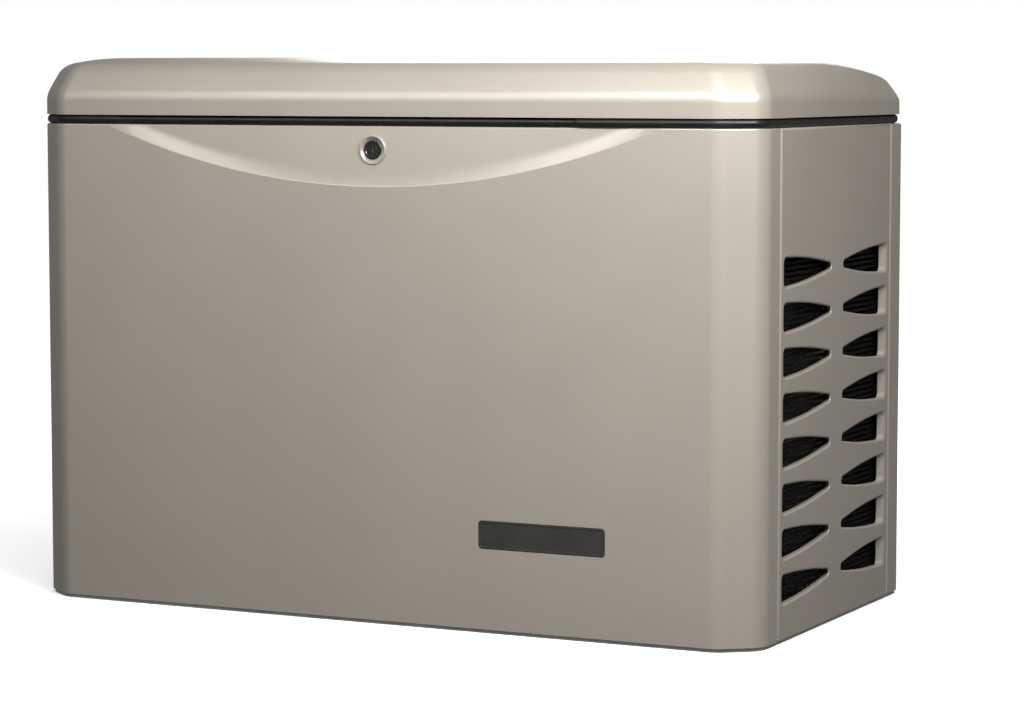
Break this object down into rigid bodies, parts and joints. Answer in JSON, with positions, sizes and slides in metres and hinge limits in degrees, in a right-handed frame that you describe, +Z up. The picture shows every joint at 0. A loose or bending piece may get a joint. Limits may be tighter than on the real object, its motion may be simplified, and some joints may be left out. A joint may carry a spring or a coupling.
{
  "type": "home standby generator",
  "caption": "Sheet-metal cabinet generator with hinged roof, lift-off front cover, vented ends, V-twin engine, alternator, battery and controls inside.",
  "frame": {"origin": "centre of the footprint on the pad, at the bottom of the base tray", "axes": "+X along the cabinet to its right end as seen from the front, -Y towards the front cover, +Z up"},
  "size_m": [1.219, 0.665, 0.845],
  "materials": {
    "cabinet_paint": "satin warm beige-grey powder coat",
    "seal_rubber": "matt black rubber",
    "screen_black": "flat black",
    "acoustic_foam": "open-cell grey foam",
    "lock_black": "black, slightly glossy",
    "badge_dark": "blank dark plate",
    "zinc_steel": "zinc plated",
    "galvanised_sheet": "galvanised sheet",
    "engine_black": "semi-gloss black",
    "cast_aluminium": "as-cast",
    "cover_black": "textured black",
    "forged_steel": "machined",
    "laminated_steel": "varnished lamination stack",
    "copper_winding": "varnished copper",
    "filter_paint": "white enamel",
    "hot_steel": "heat-tinted aluminised steel",
    "brass_fitting": "machined brass",
    "hose_rubber": "black rubber jacket",
    "battery_case": "moulded case",
    "control_plastic": "fine-textured plastic",
    "screen_glass": "display window",
    "button_red": "moulded red",
    "button_green": "moulded green",
    "button_grey": "moulded grey"
  },
  "bodies": {
    "root": {"air_cleaner_base": "engine_black", "air_cleaner_cover": "engine_black", "alternator_adapter": "cast_aluminium", "alternator_end_bracket": "cast_aluminium", "alternator_stator": "laminated_steel", "base_tray": "galvanised_sheet", "battery": "battery_case", "battery_strap": "zinc_steel", "blower_housing": "engine_black", "circuit_breaker": "control_plastic", "control_mount": "galvanised_sheet", "controller_case": "control_plastic", "controller_screen": "screen_glass", "crankcase": "cast_aluminium", "cylinders": "cast_aluminium", "divider_baffle": "galvanised_sheet", "engine_cradle": "engine_black", "exhaust_pipes": "hot_steel", "fixed_hinge_leaves": "zinc_steel", "fuel_hose": "hose_rubber", "fuel_inlet_valve": "brass_fitting", "fuel_regulator": "cast_aluminium", "hinge_pins": "zinc_steel", "intake_manifold": "cast_aluminium", "left_air_screen": "screen_black", "left_end_panel": "cabinet_paint", "mount_bolts": "zinc_steel", "muffler": "hot_steel", "muffler_shelf": "galvanised_sheet", "muffler_straps": "zinc_steel", "oil_filter": "filter_paint", "power_leads": "hose_rubber", "rear_panel": "cabinet_paint", "right_air_screen": "screen_black", "right_end_panel": "cabinet_paint", "starter_motor": "engine_black", "stator_windings": "copper_winding", "stay_bracket": "zinc_steel", "valve_covers": "cover_black", "vibration_mounts": "seal_rubber"},
    "roof": {"roof_shell": "cabinet_paint", "roof_foam": "acoustic_foam", "roof_seal": "seal_rubber", "roof_hinge_leaves": "zinc_steel", "roof_catch": "zinc_steel"},
    "stay": {"lid_stay": "zinc_steel"},
    "front_cover": {"front_panel": "cabinet_paint", "front_foam": "acoustic_foam", "lock_housing": "lock_black", "name_badge": "badge_dark"},
    "lock": {"lock_plug": "lock_black", "lock_cam": "zinc_steel"},
    "off_key": {"off_button": "button_red"},
    "auto_key": {"auto_button": "button_green"},
    "run_key": {"run_button": "button_grey"},
    "breaker_toggle": {"breaker_lever": "control_plastic"},
    "rotor": {"crankshaft": "forged_steel", "flywheel_fan": "forged_steel", "alternator_rotor": "laminated_steel"},
    "oil_dipstick": {"dipstick": "cover_black"}
  },
  "joints": [
    {"name": "roof_hinge", "type": "hinge", "parent": "root", "child": "roof", "pos_m": [0, 0.326, 0.75], "axis": [-1, 0, 0], "range_deg": [0, 65]},
    {"name": "stay_pivot", "type": "hinge", "parent": "root", "child": "stay", "pos_m": [0.581, 0.2, 0.733], "axis": [-1, 0, 0], "range_deg": [0, 80]},
    {"name": "front_cover_pull", "type": "slide", "parent": "root", "child": "front_cover", "axis": [0, -1, 0], "range_m": [0, 0.4]},
    {"name": "lock_turn", "type": "hinge", "parent": "front_cover", "child": "lock", "pos_m": [0, -0.32, 0.708], "axis": [0, 1, 0], "range_deg": [0, 90]},
    {"name": "breaker_throw", "type": "hinge", "parent": "root", "child": "breaker_toggle", "pos_m": [0.25, -0.278, 0.48], "axis": [1, 0, 0], "range_deg": [0, 40]},
    {"name": "shaft_spin", "type": "hinge", "parent": "root", "child": "rotor", "pos_m": [0, 0.02, 0.3], "axis": [1, 0, 0], "continuous": true},
    {"name": "dipstick_pull", "type": "slide", "parent": "root", "child": "oil_dipstick", "axis": [0, 0, 1], "range_m": [0, 0.22]},
    {"name": "off_key_press", "type": "slide", "parent": "root", "child": "off_key", "axis": [0, 1, 0], "range_m": [0, 0.0008], "stiffness_N_per_m": 500},
    {"name": "auto_key_press", "type": "slide", "parent": "root", "child": "auto_key", "axis": [0, 1, 0], "range_m": [0, 0.0008], "stiffness_N_per_m": 500},
    {"name": "run_key_press", "type": "slide", "parent": "root", "child": "run_key", "axis": [0, 1, 0], "range_m": [0, 0.0008], "stiffness_N_per_m": 500}
  ],
  "couplings": [
    {"joint": "stay_pivot", "follows": "roof_hinge", "ratio": 1.23}
  ]
}
